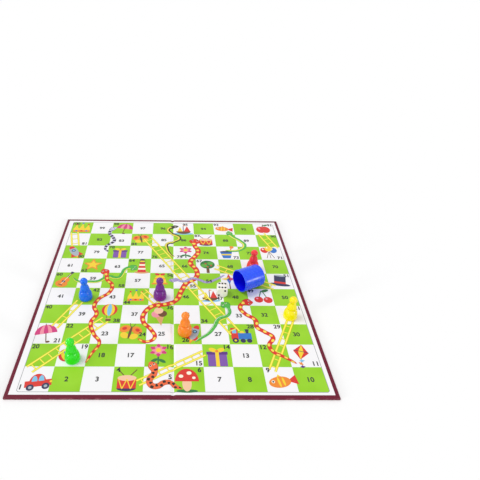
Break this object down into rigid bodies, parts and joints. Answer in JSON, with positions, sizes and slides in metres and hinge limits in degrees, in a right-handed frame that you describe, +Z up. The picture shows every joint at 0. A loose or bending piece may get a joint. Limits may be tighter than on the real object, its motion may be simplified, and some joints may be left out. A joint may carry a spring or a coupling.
{
  "type": "snakes and ladders board",
  "caption": "Folding square game board with numbered squares, printed snakes and ladders, and loose pawns, dice cup and die standing on it.",
  "frame": {"origin": "middle of the fold, on the surface that the open board lies on", "axes": "+Z up out of the print, +Y along the fold away from the viewer, +X towards the right half"},
  "size_m": [0.3524, 0.3486, 0.0357],
  "materials": {
    "greyboard": "matte grey board",
    "wrap_paper": "satin maroon paper",
    "print_sheet": "satin coated white paper",
    "green_ink": "satin print",
    "ladder_ink": "satin print",
    "snake_ink": "satin print",
    "blue_plastic": "glossy moulded plastic",
    "green_plastic": "glossy moulded plastic",
    "purple_plastic": "glossy moulded plastic",
    "orange_plastic": "glossy moulded plastic",
    "red_plastic": "glossy moulded plastic",
    "yellow_plastic": "glossy moulded plastic",
    "cup_plastic": "satin moulded plastic",
    "die_plastic": "glossy moulded plastic",
    "pip_paint": "matte paint"
  },
  "bodies": {
    "spine": {"spine_cover": "wrap_paper", "fold_print_sheet": "print_sheet", "fold_green_squares": "green_ink", "fold_ladders": "ladder_ink", "fold_snakes": "snake_ink"},
    "right_half": {"right_board": "greyboard", "right_cover": "wrap_paper", "right_print_sheet": "print_sheet", "right_green_squares": "green_ink", "right_ladders": "ladder_ink", "right_snakes": "snake_ink"},
    "left_half": {"left_board": "greyboard", "left_cover": "wrap_paper", "left_print_sheet": "print_sheet", "left_green_squares": "green_ink", "left_ladders": "ladder_ink", "left_snakes": "snake_ink"},
    "blue_pawn": {"blue_pawn": "blue_plastic"},
    "green_pawn": {"green_pawn": "green_plastic"},
    "purple_pawn": {"purple_pawn": "purple_plastic"},
    "orange_pawn": {"orange_pawn": "orange_plastic"},
    "red_pawn": {"red_pawn": "red_plastic"},
    "yellow_pawn": {"yellow_pawn": "yellow_plastic"},
    "dice_cup": {"dice_cup": "cup_plastic"},
    "die": {"die": "die_plastic", "die_pips": "pip_paint"}
  },
  "joints": [
    {"name": "right_crease", "type": "hinge", "parent": "spine", "child": "right_half", "pos_m": [0.00257, 0, 0.00028], "axis": [0, -1, 0], "range_deg": [0, 45]},
    {"name": "left_crease", "type": "hinge", "parent": "spine", "child": "left_half", "pos_m": [-0.00257, 0, 0.00028], "axis": [0, 1, 0], "range_deg": [0, 45]},
    {"name": "blue_pawn_lift", "type": "slide", "parent": "left_half", "child": "blue_pawn", "axis": [0, 0, 1], "range_m": [0, 0.06]},
    {"name": "green_pawn_lift", "type": "slide", "parent": "left_half", "child": "green_pawn", "axis": [0, 0, 1], "range_m": [0, 0.06]},
    {"name": "purple_pawn_lift", "type": "slide", "parent": "left_half", "child": "purple_pawn", "axis": [0, 0, 1], "range_m": [0, 0.06]},
    {"name": "orange_pawn_lift", "type": "slide", "parent": "right_half", "child": "orange_pawn", "axis": [0, 0, 1], "range_m": [0, 0.06]},
    {"name": "red_pawn_lift", "type": "slide", "parent": "right_half", "child": "red_pawn", "axis": [0, 0, 1], "range_m": [0, 0.06]},
    {"name": "yellow_pawn_lift", "type": "slide", "parent": "right_half", "child": "yellow_pawn", "axis": [0, 0, 1], "range_m": [0, 0.06]},
    {"name": "dice_cup_lift", "type": "slide", "parent": "right_half", "child": "dice_cup", "axis": [0, 0, 1], "range_m": [0, 0.06]},
    {"name": "die_lift", "type": "slide", "parent": "right_half", "child": "die", "axis": [0, 0, 1], "range_m": [0, 0.06]}
  ],
  "couplings": [
    {"joint": "left_crease", "follows": "right_crease", "ratio": 1}
  ]
}
